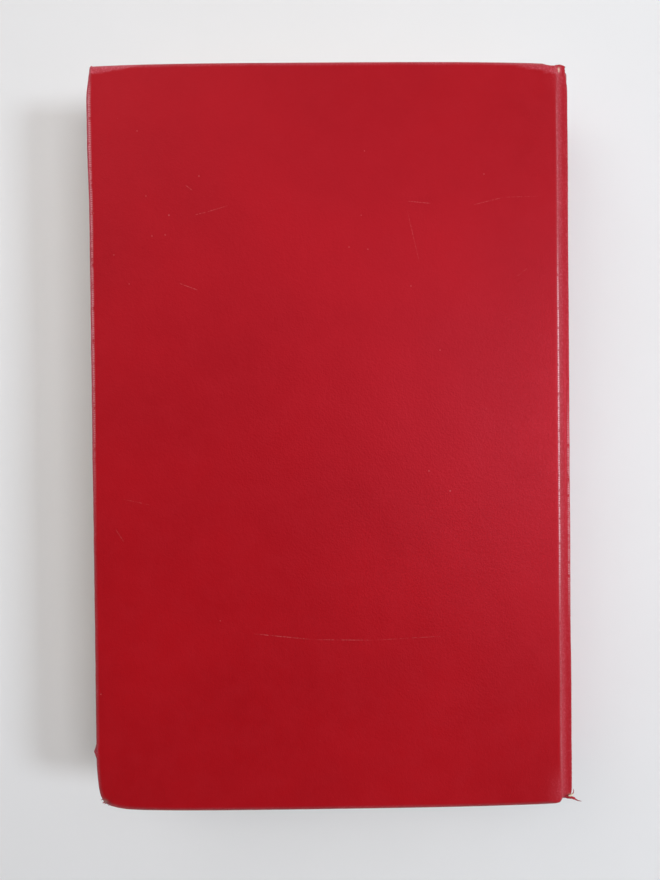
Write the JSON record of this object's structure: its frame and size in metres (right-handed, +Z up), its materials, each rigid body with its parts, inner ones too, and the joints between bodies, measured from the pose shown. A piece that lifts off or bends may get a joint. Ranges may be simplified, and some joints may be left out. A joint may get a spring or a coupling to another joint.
{
  "type": "hardback book",
  "caption": "Plain case-bound book with red cloth boards, rounded spine, sewn sections, and covers and end leaves that open.",
  "frame": {"origin": "centre of the footprint, on the outside of the front cover, which the book lies on", "axes": "+X from the fore-edge to the spine, +Y to the head, +Z up through the thickness"},
  "size_m": [0.146, 0.222, 0.033],
  "materials": {
    "cover_cloth": "satin coated bookcloth, fine crinkle grain",
    "board": "binder's board",
    "spine_card": "thin card",
    "endpaper": "smooth uncoated paper",
    "leaves": "uncoated book paper, trimmed edges",
    "mull": "open gauze",
    "kraft": "kraft lining paper",
    "glue": "dried adhesive",
    "thread": "sewing thread",
    "band": "woven band"
  },
  "bodies": {
    "text_block": {"spine_inlay": "spine_card", "spine_cloth": "cover_cloth", "front_joint_cloth": "cover_cloth", "back_joint_cloth": "cover_cloth", "front_endpaper_joint": "endpaper", "back_endpaper_joint": "endpaper", "spine_mull": "mull", "spine_lining": "kraft", "spine_glue": "glue", "sewing_thread": "thread", "head_band": "band", "tail_band": "band", "signature_01_fold": "leaves", "signature_02_fold": "leaves", "signature_03_fold": "leaves", "signature_14_fold": "leaves", "signature_15_fold": "leaves", "signature_16_fold": "leaves", "signature_04": "leaves", "signature_05": "leaves", "signature_06": "leaves", "signature_07": "leaves", "signature_08": "leaves", "signature_09": "leaves", "signature_10": "leaves", "signature_11": "leaves", "signature_12": "leaves", "signature_13": "leaves"},
    "front_cover": {"front_board": "board", "front_cover_cloth": "cover_cloth", "front_pastedown": "endpaper", "front_mull_flap": "mull"},
    "back_cover": {"back_board": "board", "back_cover_cloth": "cover_cloth", "back_pastedown": "endpaper", "back_mull_flap": "mull"},
    "section_16": {"signature_16": "leaves"},
    "section_15": {"signature_15": "leaves"},
    "section_14": {"signature_14": "leaves"},
    "back_flyleaf": {"back_flyleaf": "endpaper"},
    "section_01": {"signature_01": "leaves"},
    "section_02": {"signature_02": "leaves"},
    "section_03": {"signature_03": "leaves"},
    "front_flyleaf": {"front_flyleaf": "endpaper"}
  },
  "joints": [
    {"name": "back_cover_hinge", "type": "hinge", "parent": "text_block", "child": "back_cover", "pos_m": [0.0679, 0, 0.0309], "axis": [0, 1, 0], "range_deg": [0, 178]},
    {"name": "section_16_turn", "type": "hinge", "parent": "text_block", "child": "section_16", "pos_m": [0.0646, 0, 0.02939], "axis": [0, 1, 0], "range_deg": [0, 126]},
    {"name": "section_15_turn", "type": "hinge", "parent": "text_block", "child": "section_15", "pos_m": [0.064, 0, 0.02778], "axis": [0, 1, 0], "range_deg": [0, 58]},
    {"name": "section_14_turn", "type": "hinge", "parent": "text_block", "child": "section_14", "pos_m": [0.0634, 0, 0.02617], "axis": [0, 1, 0], "range_deg": [0, 22]},
    {"name": "back_flyleaf_turn", "type": "hinge", "parent": "section_16", "child": "back_flyleaf", "pos_m": [0.0606, 0, 0.02945], "axis": [0, 1, 0], "range_deg": [0, 40]},
    {"name": "front_cover_hinge", "type": "hinge", "parent": "text_block", "child": "front_cover", "pos_m": [0.0679, 0, 0.0021], "axis": [0, -1, 0], "range_deg": [0, 178]},
    {"name": "section_01_turn", "type": "hinge", "parent": "text_block", "child": "section_01", "pos_m": [0.0646, 0, 0.00361], "axis": [0, -1, 0], "range_deg": [0, 126]},
    {"name": "section_02_turn", "type": "hinge", "parent": "text_block", "child": "section_02", "pos_m": [0.064, 0, 0.00522], "axis": [0, -1, 0], "range_deg": [0, 58]},
    {"name": "section_03_turn", "type": "hinge", "parent": "text_block", "child": "section_03", "pos_m": [0.0634, 0, 0.00683], "axis": [0, -1, 0], "range_deg": [0, 22]},
    {"name": "front_flyleaf_turn", "type": "hinge", "parent": "section_01", "child": "front_flyleaf", "pos_m": [0.0606, 0, 0.00355], "axis": [0, -1, 0], "range_deg": [0, 40]}
  ],
  "couplings": [
    {"joint": "section_16_turn", "follows": "back_cover_hinge", "ratio": 0.70786},
    {"joint": "section_15_turn", "follows": "back_cover_hinge", "ratio": 0.32584},
    {"joint": "section_14_turn", "follows": "back_cover_hinge", "ratio": 0.1236},
    {"joint": "back_flyleaf_turn", "follows": "back_cover_hinge", "ratio": 0.22472},
    {"joint": "section_01_turn", "follows": "front_cover_hinge", "ratio": 0.70786},
    {"joint": "section_02_turn", "follows": "front_cover_hinge", "ratio": 0.32584},
    {"joint": "section_03_turn", "follows": "front_cover_hinge", "ratio": 0.1236},
    {"joint": "front_flyleaf_turn", "follows": "front_cover_hinge", "ratio": 0.22472}
  ]
}
